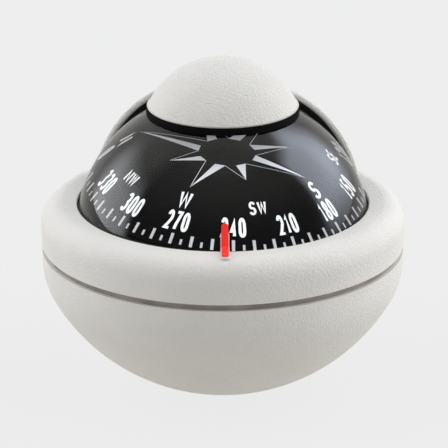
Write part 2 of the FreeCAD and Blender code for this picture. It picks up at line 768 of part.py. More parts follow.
def make_float():
    stem = S["stem_radius"]
    wall = 0.7
    radius = S["float_radius"]
    lid = height(S["float_base"])
    crown = height(S["card_top"] - S["card_wall"])
    cup = turned("float_cup", [
        (radius - wall, lid + wall),
        (radius, lid + wall),
        (radius, crown),
        (0, crown),
        (0, crown - wall),
        (radius - wall, crown - wall),
    ])
    heel(keep(cup, "float_cup"))
    heel(keep(turned("float_lid", ring_outline(stem + SNUG, radius, lid, lid + wall)), "float_lid"))
    jewel = S["jewel_radius"]
    jewel_base = height(S["tip_height"] - 1.0)
    jewel_top = height(S["tip_height"] + 1.2)
    holder = turned("jewel_holder", [
        (jewel + SNUG, jewel_base - 0.2),
        (stem, jewel_base - 0.2),
        (stem, crown - wall - SNUG),
        (0, crown - wall - SNUG),
        (0, jewel_top + 0.05),
        (jewel + SNUG, jewel_top + 0.05),
    ])
    heel(keep(holder, "jewel_holder"))
    cup = 0.7
    cup_top = height(S["tip_height"] + 0.1)
    bearing = turned("jewel_bearing", [
        (cup, jewel_base),
        (jewel, jewel_base),
        (jewel, jewel_top),
        (0, jewel_top),
        (0, cup_top),
        (cup, cup_top),
    ])
    heel(keep(bearing, "jewel_bearing"))
    shelf = height(5.0)
    carrier = ring_outline(stem + SNUG, S["float_radius"], shelf, shelf + 0.8)
    heel(keep(turned("magnet_carrier", carrier), "magnet_carrier"))


def make_magnets():
    length = 22.0
    width = 3.0
    base = height(2.55)
    north = FreeCAD.Rotation(Z_AXIS, S["heading"].value - 90)
    bars = []
    for side in (-6.0, 6.0):
        bar = doc.addObject("Part::Box", f"magnet_{'left' if side < 0 else 'right'}")
        bind(bar, Length=length, Width=width, Height=2.4)
        corner = north.multVec(FreeCAD.Vector(-length / 2, side - width / 2, 0))
        place(bar, (corner.x, corner.y, base), north)
        bars.append(bar)
    heel(group("card_magnets", bars))


# ---- lubber line ------------------------------------------------------------------------------


def pointer_outline(inner, thickness, top, low, reach):
    """A strip up the dome from a foot over the bezel, drawn on the +Y side."""
    outer = inner + thickness
    round_z = height(S["bezel_crest"] - S["bezel_round"])
    crest_y = S["bezel_radius"] - S["bezel_round"]
    under = S["bezel_round"] + low
    over = under + thickness
    run = as_size(reach) - crest_y
    return [
        (leg(inner, S["bezel_crest"] + low), height(S["bezel_crest"] + low), inner, "right"),
        (crest_y, round_z + under),
        (reach, round_z + leg(under, run), under, "right"),
        (reach, round_z + leg(over, run)),
        (crest_y, round_z + over, over, "left"),
        (leg(outer, S["bezel_crest"] + low + thickness), round_z + over),
        (leg(outer, top), height(top), outer, "left"),
        (leg(inner, top), height(top)),
    ]


def make_pointer():
    inner = S["dome_radius"] + S["post_gap"]
    half = FreeCAD.Rotation(Z_AXIS, 180)
    strips = {
        "lubber_post": ("post", inner, S["seat"]),
        "lubber_stripe": ("stripe", inner + S["post_wall"], S["seat"] + S["post_wall"]),
    }
    for name, (kind, base, lift) in strips.items():
        width = S[kind + "_width"]
        top = S[kind + "_top"]
        reach = S[kind + "_reach"]
        body = pad_across(name, pointer_outline(base, S[kind + "_wall"], top, lift, reach), width)
        round_corners(body, width / 2 - 0.1, lambda edge, level=height(top).value: is_level_end(edge, level))
        round_corners(body, 0.45, lambda edge, limit=reach.value: is_foot_end(edge, limit))
        place(body, (0, 0, 0), half)
        keep(body, name)


def is_level_end(edge, level):
    """True for the two short edges through a strip at its tip, which is cut level."""
    ends = [vertex.Point for vertex in edge.Vertexes]
    return abs(ends[0].x - ends[-1].x) < 1e-4 and all(abs(p.z - level) < 1e-4 for p in ends)


def is_foot_end(edge, limit):
    """True for the two short edges through a strip at its foot, which is cut upright."""
    ends = [vertex.Point for vertex in edge.Vertexes]
    return abs(ends[0].x - ends[-1].x) < 1e-4 and all(abs(p.y - limit) < 1e-4 for p in ends)


# ---- shade ------------------------------------------------------------------------------------


def band(inner, outer, low, near_axis):
    """Section of a spherical shell from a height above the dome centre up to a radius."""
    return [
        (leg(inner, low), height(low), inner, "right"),
        (leg(outer, low), height(low)),
        (near_axis, height(leg(outer, near_axis)), outer, "left"),
        (near_axis, height(leg(inner, near_axis))),
    ]


def make_shade():
    outer = S["shade_radius"]
    inner = outer - S["shade_wall"]
    lining = inner + S["liner_wall"]
    boss = S["boss_radius"]
    crown = boss + 0.3
    foot = S["shade_foot"]
    border = foot + S["shade_border"]
    span = S["shade_half_angle"] * 2
    lined = span - S["shade_lead"]
    edge_round = 0.6
    shank = 0.8
    hood_hole = 0.9
    hub_hole = 0.85
    drill = 8.0
    blank = turned("hood_blank", band(inner, outer, foot, crown), span)
    round_corners(blank, edge_round, is_front_edge)
    recess = turned("hood_recess", band(inner - 0.5, lining, border, boss), lined)
    tools = [recess]
    hub_tools = []
    liner_tools = []
    screws = []
    face = height(leg(outer, 8.0)) + 0.05
    for angle in (55, 125):
        x, y = around(S["hood_screw_circle"], angle)
        screws.append(screw(f"hood_screw_{angle}", (x, y, face), (shank, 2.9), (1.4, 0.9)))
        start = (x, y, face - 5.0)
        tools.append(cylinder(f"hood_hole_{angle}", hood_hole, drill, start))
        hub_tools.append(cylinder(f"hub_hole_{angle}", hub_hole, drill, start))
        liner_tools.append(cylinder(f"liner_hole_{angle}", hub_hole, drill, start))
    turn_at_rest(keep(cut("shade_hood", blank, tools), "shade_hood"))
    turn_at_rest(group("hood_screws", screws))
    liner = turned("liner_blank", band(inner + SNUG, lining - SNUG, border + 0.1, crown), lined - 0.4)
    turn_at_rest(keep(cut("hood_liner", liner, liner_tools), "hood_liner"))
    hub = turned("hub_blank", hub_outline(boss))
    turn_at_rest(keep(cut("shade_hub", hub, hub_tools), "shade_hub"))


def is_front_edge(edge):
    """True for the long curved edges at the two ends of the shade."""
    middle = edge.valueAt((edge.FirstParameter + edge.LastParameter) / 2)
    azimuth = math.degrees(math.atan2(abs(middle.x), middle.y))
    return abs(azimuth - S["shade_half_angle"].value) < 0.01 and edge.Length > 5


def hub_outline(boss):
    inner = S["hub_inner"]
    outer = inner + S["hub_wall"]
    bore = S["stud_radius"] + S["running_gap"]
    step = boss - 1.1
    base = height(S["hub_base"])
    top = height(S["boss_top"])
    rim = S["hub_radius"]
    return [
        (bore, base),
        (step, base),
        (step, height(leg(inner, step))),
        (rim, height(leg(inner, rim)), inner, "right"),
        (rim, height(leg(outer, rim))),
        (boss, height(leg(outer, boss)), outer, "left"),
        (boss, top),
        (bore, top),
    ]


def make_cap():
    outer = S["cap_sphere"]
    inner = outer - S["cap_wall"]
    rim = S["cap_rim"]
    round_off = 0.6
    base = S["cap_base"]
    low = S["cap_centre"] + base
    blank = turned("cap_blank", [
        (leg(inner, base + 0.2), height(low + 0.2), inner, "right"),
        (leg(inner, base + 0.2) + 0.4, height(low)),
        (rim - round_off, height(low)),
        (rim, height(low + round_off), round_off, "left"),
        (leg(outer, base + round_off), height(low + round_off)),
        (POLE_FLAT, height(S["cap_centre"] + leg(outer, POLE_FLAT)), outer, "left"),
        (0, height(S["cap_centre"] + leg(outer, POLE_FLAT))),
        (0, height(S["cap_centre"] + leg(inner, POLE_FLAT))),
        (POLE_FLAT, height(S["cap_centre"] + leg(inner, POLE_FLAT))),
    ])
    seat = turned("cap_seat", band(S["hub_inner"], S["shade_radius"] + 0.05, S["cap_centre"], 6.0),
                  S["shade_half_angle"] * 2 + 0.4)
    turn_at_rest(keep(cut("shade_cap", blank, [seat]), "shade_cap"))


def make_wiper():
    """A soft ring glued under the cap's rim, which keeps grit off the dome."""
    inner = S["wiper_inner"]
    bore = S["wiper_bore"]
    rim = S["wiper_radius"]
    top = S["cap_centre"] + S["cap_base"]
    land = 0.5
    turn_at_rest(keep(turned("cap_wiper", [
        (bore, height(leg(inner, bore))),
        (rim, height(leg(inner, rim)), inner, "right"),
        (rim, height(top - S["wiper_lip"])),
        (bore + land, height(top)),
        (bore, height(top)),
    ]), "cap_wiper"))


def make_stud():
    foot = S["dome_radius"] + 0.03
    flange = 5.0
    flange_top = height(S["hub_base"] - 0.2)
    stud = S["stud_radius"]
    top = height(S["stud_top"])
    thread = 1.0
    thread_end = top - 3.6
    keep(turned("shade_stud", [
        (flange, height(leg(foot, flange)), foot, "right"),
        (flange, flange_top),
        (stud, flange_top),
        (stud, top),
        (thread, top),
        (thread, thread_end),
        (0, thread_end),
        (0, height(leg(foot, POLE_FLAT))),
        (POLE_FLAT, height(leg(foot, POLE_FLAT))),
    ]), "shade_stud")
    washer = ring_outline(stud + 0.05, 5.5, height(S["boss_top"]) + SNUG, top)
    keep(turned("friction_washer", washer), "friction_washer")
    keep(screw("stud_screw", (0, 0, top), (thread - SNUG, 3.3), (4.2, 1.2)), "stud_screw")


# ---- compensator ------------------------------------------------------------------------------


def make_compensator():
    floor = S["bowl_floor"]
    off = S["shaft_offset"]
    post = 2.5
    post_wide = 4
    side = off - post_wide / 2
    low_tall, high_tall = 3.7, 5.7
    plate_radius = 16.0
    plate_thick = 0.6
    plate_bore = S["insert_radius"] + 2.2
    plate = turned("tray_plate", ring_outline(plate_bore, plate_radius, floor, floor + plate_thick))
    base = floor + plate_thick - 0.1
    posts = [
        box("tray_post_left", (post, post_wide, low_tall), (-14.2, side, base)),
        box("tray_post_right", (post, post_wide, low_tall), (11.8, side, base)),
        box("tray_post_fore", (post_wide, post, high_tall), (side, -13.0, base)),
        box("tray_post_aft", (post_wide, post, high_tall), (side, 10.6, base)),
    ]
    bore = S["shaft_radius"] + S["running_gap"]
    tools = [
        cylinder("tray_bore_across", bore, 40, (-20, off, S["low_shaft"]), "x"),
        cylinder("tray_bore_along", bore, 40, (off, -20, S["high_shaft"]), "y"),
        cylinder("tray_gland_hole", 3.4, 4, (-S["gland_offset"], 0, floor - 1)),
    ]
    keep(cut("compensator_tray", fused("tray_blank", [plate] + posts), tools), "compensator_tray")
    slot_deep, slot_long, slot_wide = 0.8, 2.4, 0.5
    end = 19.2
    across = cylinder("across_blank", S["shaft_radius"], end * 2, (-end, off, S["low_shaft"]), "x")
    slots = []
    for x in (-end, end - slot_deep):
        corner = (x, off - slot_long / 2, S["low_shaft"] - slot_wide / 2)
        slots.append(box(f"across_slot_{len(slots)}", (slot_deep, slot_long, slot_wide), corner))
    keep(cut("athwart_shaft", across, slots), "athwart_shaft")
    fore_end = -14.4
    aft_end = 22.6
    foremost = (off, fore_end, S["high_shaft"])
    along = cylinder("along_blank", S["shaft_radius"], aft_end - fore_end, foremost, "y")
    corner = (off - slot_long / 2, aft_end - slot_deep, S["high_shaft"] - slot_wide / 2)
    slot_along = box("along_slot", (slot_long, slot_deep, slot_wide), corner)
    keep(cut("fore_aft_shaft", along, [slot_along]), "fore_aft_shaft")
    magnet_radius = 1.5
    magnet_length = 7.0
    magnet_end = -9.0
    for label, at, axis in (
        ("athwart_magnet", (magnet_end, off, S["low_shaft"]), "x"),
        ("fore_aft_magnet", (off, magnet_end, S["high_shaft"]), "y"),
    ):
        sleeve = cylinder(label + "_blank", magnet_radius, magnet_length, at, axis)
        hole = cylinder(label + "_hole", S["shaft_radius"] + SNUG, magnet_length, at, axis)
        keep(cut(label, sleeve, [hole]), label)


def check(finished):
    """Stops if any object failed or any piece is not a sound solid."""
    for thing in doc.Objects:
        if {"Invalid", "Error"} & set(thing.State):
            raise RuntimeError(f"{thing.Name} failed: {thing.State}")
    for piece in finished:
        shape = piece.Shape
        if shape.isNull() or not shape.isValid() or not shape.Solids:
            raise RuntimeError(f"{piece.Label} is not a valid solid")


def main():
    for make in (
        make_bowl, make_foot, make_bezel, make_seam_gasket, make_lamp, make_capsule_bowl, make_dome,
        make_clamping, make_diaphragm, make_fill_plug, make_gimbal_ring, make_cradle, make_card,
        make_float, make_magnets, make_pointer, make_shade, make_cap, make_wiper, make_stud,
        make_compensator,
    ):
        make()
    doc.recompute()
    check(parts)
    os.makedirs("parts", exist_ok=True)
    for piece in parts:
        piece.Shape.exportStep(f"parts/{piece.Label}.step")
        print(f"{piece.Label:22s} {len(piece.Shape.Solids):2d} solids {piece.Shape.Volume:10.1f} mm3")


main()
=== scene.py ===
"""A white marine compass with a black card under a clear dome and a turning sun shade.

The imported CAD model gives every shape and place.  This script gives its pieces their materials,
prints the card, and sets the studio.  Lengths are metres; the axis of the compass is Z, and the
helmsman looks from -Y.
"""
import bisect
import json
import math
from typing import NamedTuple

import bpy
from mathutils import Matrix, Vector
from mathutils.bvhtree import BVHTree


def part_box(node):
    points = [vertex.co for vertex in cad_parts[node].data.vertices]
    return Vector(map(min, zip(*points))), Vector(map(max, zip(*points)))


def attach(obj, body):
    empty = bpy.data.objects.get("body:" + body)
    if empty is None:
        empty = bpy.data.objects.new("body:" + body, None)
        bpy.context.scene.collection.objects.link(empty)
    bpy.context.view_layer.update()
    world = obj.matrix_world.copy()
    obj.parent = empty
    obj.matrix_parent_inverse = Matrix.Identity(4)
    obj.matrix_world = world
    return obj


MM = 0.001
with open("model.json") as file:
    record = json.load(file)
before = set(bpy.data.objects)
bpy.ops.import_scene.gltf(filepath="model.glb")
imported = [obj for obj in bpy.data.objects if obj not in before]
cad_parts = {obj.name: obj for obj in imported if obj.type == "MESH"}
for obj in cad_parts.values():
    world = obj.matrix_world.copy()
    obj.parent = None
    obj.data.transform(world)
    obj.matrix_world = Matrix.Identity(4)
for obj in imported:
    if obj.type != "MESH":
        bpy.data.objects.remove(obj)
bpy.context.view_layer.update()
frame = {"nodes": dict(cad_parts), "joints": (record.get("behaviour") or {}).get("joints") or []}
NODES = frame["nodes"]
JOINTS = {joint["name"]: joint for joint in frame["joints"]}
CENTRE = Vector(JOINTS["gimbal_pitch"]["pos_m"])

HEADING = 243.7  # degrees, under the lubber line at rest
LIQUID_IOR = 1.45
DOME_WALL = 1.2 * MM
WHITE = (0.80, 0.78, 0.745)
BLACK = (0.0030, 0.0028, 0.0026)


# ---- materials --------------------------------------------------------------------------------


class Look:
    """A principled material whose detail comes from procedural nodes in object space."""

    def __init__(self, name, **constants):
        self.material = bpy.data.materials.new(name)
        self.material.use_nodes = True
        self.tree = self.material.node_tree
        self.shader = self.tree.nodes["Principled BSDF"]
        self.place = self.tree.nodes.new("ShaderNodeTexCoord").outputs["Object"]
        for socket, value in constants.items():
            self.shader.inputs[socket.replace("_", " ")].default_value = value

    def node(self, kind, **settings):
        """A new node with its own settings."""
        made = self.tree.nodes.new(kind)
        for name, value in settings.items():
            setattr(made, name, value)
        return made

    def link(self, output, target):
        self.tree.links.new(output, target)

    def noise(self, feature, detail=3.0, roughness=0.55):
        """Noise whose features are about that many metres across."""
        made = self.node("ShaderNodeTexNoise")
        made.inputs["Scale"].default_value = 1.0 / feature
        made.inputs["Detail"].default_value = detail
        made.inputs["Roughness"].default_value = roughness
        self.link(self.place, made.inputs["Vector"])
        return made.outputs["Fac"]

    def cells(self, feature):
        """Rounded cells about that many metres across, lowest in their middles."""
        made = self.node("ShaderNodeTexVoronoi", feature="SMOOTH_F1")
        made.inputs["Scale"].default_value = 1.0 / feature
        self.link(self.place, made.inputs["Vector"])
        return made.outputs["Distance"]

    def ramp(self, factor, stops):
        """A colour by factor, through (position, colour) stops."""
        made = self.node("ShaderNodeValToRGB")
        elements = made.color_ramp.elements
        while len(elements) < len(stops):
            elements.new(0.5)
        for element, (position, colour) in zip(elements, stops):
            element.position = position
            element.color = (*colour, 1.0)
        self.link(factor, made.inputs["Fac"])
        return made.outputs["Color"]

    def spread(self, factor, low, high):
        """A number from low to high as the factor goes from 0 to 1."""
        made = self.node("ShaderNodeMapRange")
        made.inputs["To Min"].default_value = low
        made.inputs["To Max"].default_value = high
        self.link(factor, made.inputs["Value"])
        return made.outputs["Result"]

    def add(self, first, second, share):
        """The first number plus a share of the second."""
        made = self.node("ShaderNodeMath", operation="MULTIPLY_ADD")
        made.inputs[1].default_value = share
        self.link(second, made.inputs[0])
        self.link(first, made.inputs[2])
        return made.outputs["Value"]

    def colour(self, output):
        self.link(output, self.shader.inputs["Base Color"])

    def roughness(self, output):
        self.link(output, self.shader.inputs["Roughness"])

    def bump(self, heights, distance):
        """Fine relief as deep as the distance where the heights go from 0 to 1."""
        made = self.node("ShaderNodeBump")
        made.inputs["Distance"].default_value = distance
        made.inputs["Strength"].default_value = 1.0
        self.link(heights, made.inputs["Height"])
        self.link(made.outputs["Normal"], self.shader.inputs["Normal"])

    def show(self, output):
        """Makes a shader the one that the surface shows."""
        surface = next(n for n in self.tree.nodes if n.type == "OUTPUT_MATERIAL").inputs["Surface"]
        self.link(output, surface)

    def mixed(self, share, first, second):
        """Shows the first shader, and the second one where the share is 1."""
        mix = self.node("ShaderNodeMixShader")
        self.link(share, mix.inputs["Fac"])
        self.link(first.outputs["BSDF"], mix.inputs[1])
        self.link(second.outputs["BSDF"], mix.inputs[2])
        self.show(mix.outputs["Shader"])


def grey(level):
    return (level, level, level)


def tint(colour, factor):
    return tuple(channel * factor for channel in colour)


def moulded(name, colour, feature, depth, roughness=0.5, variation=0.04):
    """Moulded plastic with a spark-eroded grain."""
    look = Look(name, IOR=1.5)
    mottling = look.noise(12 * MM, detail=2.0)
    look.colour(look.ramp(mottling, [(0.3, tint(colour, 1 - variation)), (0.7, colour)]))
    grain = look.noise(feature, detail=2.0, roughness=0.6)
    pits = look.cells(feature * 1.7)
    look.roughness(look.spread(grain, roughness - 0.06, roughness + 0.08))
    look.bump(look.add(grain, pits, -0.6), depth)
    return look.material


def rubber(name, colour, shine=0.5):
    """Soft black or grey rubber with a dusty bloom."""
    look = Look(name, IOR=1.5, Specular_IOR_Level=shine)
    bloom = look.noise(5 * MM, detail=4.0)
    look.colour(look.ramp(bloom, [(0.3, tint(colour, 0.75)), (0.75, tint(colour, 1.25))]))
    grain = look.noise(0.25 * MM)
    look.roughness(look.spread(grain, 0.62, 0.85))
    look.bump(grain, 0.02 * MM)
    return look.material


def turned_metal(name, colour, roughness):
    """Metal with fine machining marks and a little tarnish."""
    look = Look(name, Metallic=1.0)
    tarnish = look.noise(3 * MM, detail=4.0)
    look.colour(look.ramp(tarnish, [(0.25, tint(colour, 0.8)), (0.7, colour)]))
    stretch = look.node("ShaderNodeMapping")
    stretch.inputs["Scale"].default_value = (1.0, 1.0, 14.0)
    look.link(look.place, stretch.inputs["Vector"])
    marks = look.node("ShaderNodeTexNoise")
    marks.inputs["Scale"].default_value = 1.0 / (0.8 * MM)
    look.link(stretch.outputs["Vector"], marks.inputs["Vector"])
    look.roughness(look.spread(marks.outputs["Fac"], roughness - 0.08, roughness + 0.12))
    look.bump(marks.outputs["Fac"], 0.006 * MM)
    return look.material


def matte_lacquer(name, colour):
    """Paint on the card, which the liquid wets, so it has next to no shine."""
    look = Look(name, IOR=1.5, Specular_IOR_Level=0.04)
    clouds = look.noise(3 * MM, detail=2.0)
    look.colour(look.ramp(clouds, [(0.3, tint(colour, 0.8)), (0.7, tint(colour, 1.25))]))
    grain = look.noise(1.5 * MM, detail=1.0)
    look.roughness(look.spread(grain, 0.8, 0.95))
    look.bump(grain, 0.002 * MM)
    return look.material


def gloss_plastic(name, colour):
    """Smooth coloured plastic."""
    look = Look(name, IOR=1.5, Coat_Weight=0.3, Coat_Roughness=0.1)
    depth = look.noise(2.5 * MM)
    look.colour(look.ramp(depth, [(0.3, tint(colour, 0.85)), (0.7, colour)]))
    ripple = look.noise(0.4 * MM)
    look.roughness(look.spread(ripple, 0.22, 0.36))
    look.bump(ripple, 0.006 * MM)
    return look.material


def fluorescent(name, colour):
    """Bright plastic with a painted glow of its own colour, which makes it brighter than the lamps alone
    light it.
    """
    # The emission is a painted glow, since the stripe is no lamp.
    look = Look(name, IOR=1.5, Emission_Strength=0.27)
    depth = look.noise(1.5 * MM)
    shade = look.ramp(depth, [(0.3, tint(colour, 0.9)), (0.7, colour)])
    look.colour(shade)
    look.link(shade, look.shader.inputs["Emission Color"])
    ripple = look.noise(0.4 * MM)
    look.roughness(look.spread(ripple, 0.3, 0.45))
    look.bump(ripple, 0.01 * MM)
    return look.material


def clear_acrylic(name):
    """The outside of the dome, which bends light as the acrylic and the liquid inside it do.

    Lamps and light scattered inside pass straight through.
    """
    look = Look(name, Roughness=0.0, IOR=LIQUID_IOR, Transmission_Weight=1.0)
    haze = look.noise(14 * MM, detail=4.0)
    look.colour(look.ramp(haze, [(0.3, (0.93, 0.94, 0.95)), (0.7, (0.97, 0.975, 0.98))]))
    look.bump(look.noise(9 * MM, detail=1.0), 0.004 * MM)
    path = look.node("ShaderNodeLightPath")
    straight = look.node("ShaderNodeMath", operation="MAXIMUM")
    look.link(path.outputs["Is Shadow Ray"], straight.inputs[0])
    look.link(path.outputs["Is Diffuse Ray"], straight.inputs[1])
    clear = look.node("ShaderNodeBsdfTransparent")
    clear.inputs["Color"].default_value = (1.0, 1.0, 1.0, 1.0)
    look.mixed(straight.outputs["Value"], look.shader, clear)
    return look.material


def wetted_acrylic(name):
    """The inside of the dome, unseen because the liquid bends light as the acrylic does."""
    look = Look(name)
    clear = look.node("ShaderNodeBsdfTransparent")
    haze = look.ramp(look.noise(14 * MM, detail=2.0), [(0.3, grey(0.985)), (0.7, grey(1.0))])
    look.link(haze, clear.inputs["Color"])
    look.show(clear.outputs["BSDF"])
    return look.material


def dress_dome():
    """The dome's wall has its two sides in two materials."""
    dome = NODES["dome"]
    middle = (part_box("dome")[1].z - CENTRE.z) - DOME_WALL / 2
    dome.data.materials.clear()
    dome.data.materials.append(clear_acrylic("dome_acrylic"))
    dome.data.materials.append(wetted_acrylic("dome_wetted"))
    for face in dome.data.polygons:
        corners = [dome.data.vertices[index].co - CENTRE for index in face.vertices]
        face.use_smooth = True
        face.material_index = 1 if all(corner.length < middle for corner in corners) else 0


def dress(material, *names):
    """Gives CAD nodes a material."""
    for name in names:
        for slot in NODES[name].material_slots:
            slot.material = material
        for face in NODES[name].data.polygons:
            face.use_smooth = True


dress(moulded("white_bowl", WHITE, 0.34 * MM, 0.17 * MM), "bowl_shell", "bezel_ring", "lubber_post")
dress(moulded("white_cap", WHITE, 0.34 * MM, 0.32 * MM), "shade_cap", "shade_hood")
dress(moulded("black_moulding", (0.02, 0.02, 0.021), 0.35 * MM, 0.02 * MM, roughness=0.55),
      "hood_liner", "shade_hub", "capsule_bowl", "diaphragm_retainer", "cradle_frame", "gimbal_ring",
      "float_cup", "float_lid", "compensator_tray", "lamp_holder", "shade_stud", "friction_washer")
dress(matte_lacquer("card_black", BLACK), "compass_card")
dress(rubber("seam_rubber", (0.33, 0.30, 0.265)), "seam_gasket")
dress(rubber("foot_rubber", (0.03, 0.03, 0.031)),
      "foot_pad", "lead_grommet", "dome_seal", "expansion_diaphragm", "fill_plug_seal")
# The wiper is black rubber, but painted far darker and duller than the foot's rubber: painted shade for the
# dark under the cap.
dress(rubber("wiper_rubber", (0.003, 0.003, 0.003), shine=0.06), "cap_wiper")
dress(turned_metal("brass", (0.80, 0.62, 0.30), 0.3),
      "mount_insert", "ballast_weight", "jewel_holder", "fill_plug", "athwart_shaft", "fore_aft_shaft")
dress(turned_metal("steel", (0.62, 0.62, 0.61), 0.28),
      "capsule_screws", "diaphragm_screws", "hood_screws", "stud_screw", "gimbal_pins", "cradle_pins",
      "pivot_post")
dress(turned_metal("aluminium", (0.78, 0.78, 0.79), 0.34), "clamping_ring", "magnet_carrier")
dress(turned_metal("nickel", (0.40, 0.40, 0.41), 0.3), "card_magnets", "athwart_magnet", "fore_aft_magnet")
dress(gloss_plastic("red_plastic", (0.62, 0.012, 0.014)), "lamp_led")
# The lubber stripe's red carries a painted glow.
dress(fluorescent("lubber_red", (0.93, 0.035, 0.028)), "lubber_stripe")
dress(gloss_plastic("jewel_red", (0.45, 0.02, 0.10)), "jewel_bearing")
dress_dome()


# ---- the card's print -------------------------------------------------------------------------

PRINT_LIFT = 0.04 * MM
PROFILE_STEP = 0.1 * MM
FINE_STEP = 0.4 * MM
SHARPEST = 0.42  # cosine of half the sharpest turn that a stroke's corner is mitred for


class CardSurface:
    """The top of the card as a profile: radius and height by distance along it from the middle.

    Both are counted from the pivot, with the height along the card's own axis, which heels.
    """

    def __init__(self, card, joint):
        mesh = card.data
        corners = [vertex.co for vertex in mesh.vertices]
        tree = BVHTree.FromPolygons(corners, [face.vertices for face in mesh.polygons])
        self.pivot = Vector(joint["pos_m"])
        axis = Vector(joint["axis"])
        self.heel = Vector((0.0, 0.0, 1.0)).rotation_difference(axis).to_matrix()
        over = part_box("compass_card")[1].z - self.pivot.z + MM
        self.points = []
        hit = self.drop(tree, 0.0, over)
        while hit is not None:
            self.points.append((hit.x, hit.z))
            hit = self.drop(tree, len(self.points) * PROFILE_STEP, over)
        self.lengths = [0.0]
        for (r0, z0), (r1, z1) in zip(self.points, self.points[1:]):
            self.lengths.append(self.lengths[-1] + math.hypot(r1 - r0, z1 - z0))

    def drop(self, tree, radius, over):
        """Where a line down at that radius meets the card, or None outside it."""
        start = self.pivot + self.heel @ Vector((radius, 0.0, over))
        hit = tree.ray_cast(start, self.heel @ Vector((0.0, 0.0, -1.0)))[0]
        return None if hit is None else self.heel.inverted() @ (hit - self.pivot)

    def along(self, radius):
        """Distance from the middle, along the surface, to a radius."""
        place = min(radius / PROFILE_STEP, len(self.points) - 1.001)
        index = int(place)
        return self.lengths[index] + (self.lengths[index + 1] - self.lengths[index]) * (place - index)

    def point(self, distance, angle):
        """The place just over the card, the angle counted from +X."""
        index = min(bisect.bisect_right(self.lengths, distance), len(self.lengths) - 1) - 1
        (r0, z0), (r1, z1) = self.points[index], self.points[index + 1]
        share = (distance - self.lengths[index]) / (self.lengths[index + 1] - self.lengths[index])
        slope = math.atan2(z1 - z0, r1 - r0)
        radius = r0 + (r1 - r0) * share - math.sin(slope) * PRINT_LIFT
        level = z0 + (z1 - z0) * share + math.cos(slope) * PRINT_LIFT
        spot = Vector((radius * math.cos(angle), radius * math.sin(angle), level))
        return self.pivot + self.heel @ spot


def azimuth(heading):
    """Angle from +X of a heading's mark."""
    return math.radians(-90 - (heading - HEADING))


def polar(radius, angle):
    return Vector((radius * math.cos(angle), radius * math.sin(angle)))


def blend(first, last, share):
    return first + (last - first) * share


def arc(x, y, wide, tall, start, end, steps=10):
    """Points of an arc of an ellipse, angles in degrees."""
    angles = [math.radians(start + (end - start) * step / steps) for step in range(steps + 1)]
    return [(x + wide * math.cos(angle), y + tall * math.sin(angle)) for angle in angles]


# Strokes of each character in a box one wide and one high; a closed stroke ends where it begins.
OVAL = arc(0.5, 0.68, 0.5, 0.32, 0, 180) + arc(0.5, 0.32, 0.5, 0.32, 180, 360) + [(1.0, 0.68)]
NINE = arc(0.5, 0.7, 0.5, 0.3, 360, 0, 16) + arc(0.5, 0.3, 0.5, 0.3, 0, -150)
GLYPHS = {
    "0": [OVAL],
    "1": [[(0.62, 0.0), (0.62, 1.0), (0.12, 0.76)]],
    "2": [arc(0.5, 0.7, 0.48, 0.3, 165, -25) + [(0.55, 0.3), (0.04, 0.0), (1.0, 0.0)]],
    "3": [arc(0.46, 0.75, 0.46, 0.25, 155, -80), arc(0.48, 0.27, 0.5, 0.27, 95, -155)],
    "4": [[(0.7, 0.0), (0.7, 1.0), (0.0, 0.28), (1.0, 0.28)]],
    "5": [[(0.93, 1.0), (0.15, 1.0), (0.08, 0.52)] + arc(0.48, 0.32, 0.5, 0.32, 130, -150)],
    "6": [[(1.0 - x, 1.0 - y) for x, y in NINE]],
    "7": [[(0.0, 1.0), (1.0, 1.0), (0.4, 0.3), (0.32, 0.0)]],
    "8": [arc(0.5, 0.76, 0.43, 0.24, -90, 270, 16), arc(0.5, 0.26, 0.5, 0.26, 90, 450, 16)],
    "9": [NINE],
    "N": [[(0.0, 0.0), (0.0, 1.0), (1.0, 0.0), (1.0, 1.0)]],
    "E": [[(1.0, 1.0), (0.0, 1.0), (0.0, 0.0), (1.0, 0.0)], [(0.0, 0.52), (0.85, 0.52)]],
    "S": [arc(0.5, 0.75, 0.46, 0.25, 20, 250) + arc(0.5, 0.26, 0.48, 0.26, 70, -160)],
    "W": [[(0.0, 1.0), (0.24, 0.0), (0.5, 0.95), (0.76, 0.0), (1.0, 1.0)]],
}
WIDTHS = {"1": 0.66, "W": 1.36, "N": 1.08, "E": 0.86}


class Style(NamedTuple):
    """Sizes of a printed word: where its middle stands on the card, and how its strokes are drawn."""

    radius: float
    height: float
    width: float
    gap: float
    weight: float


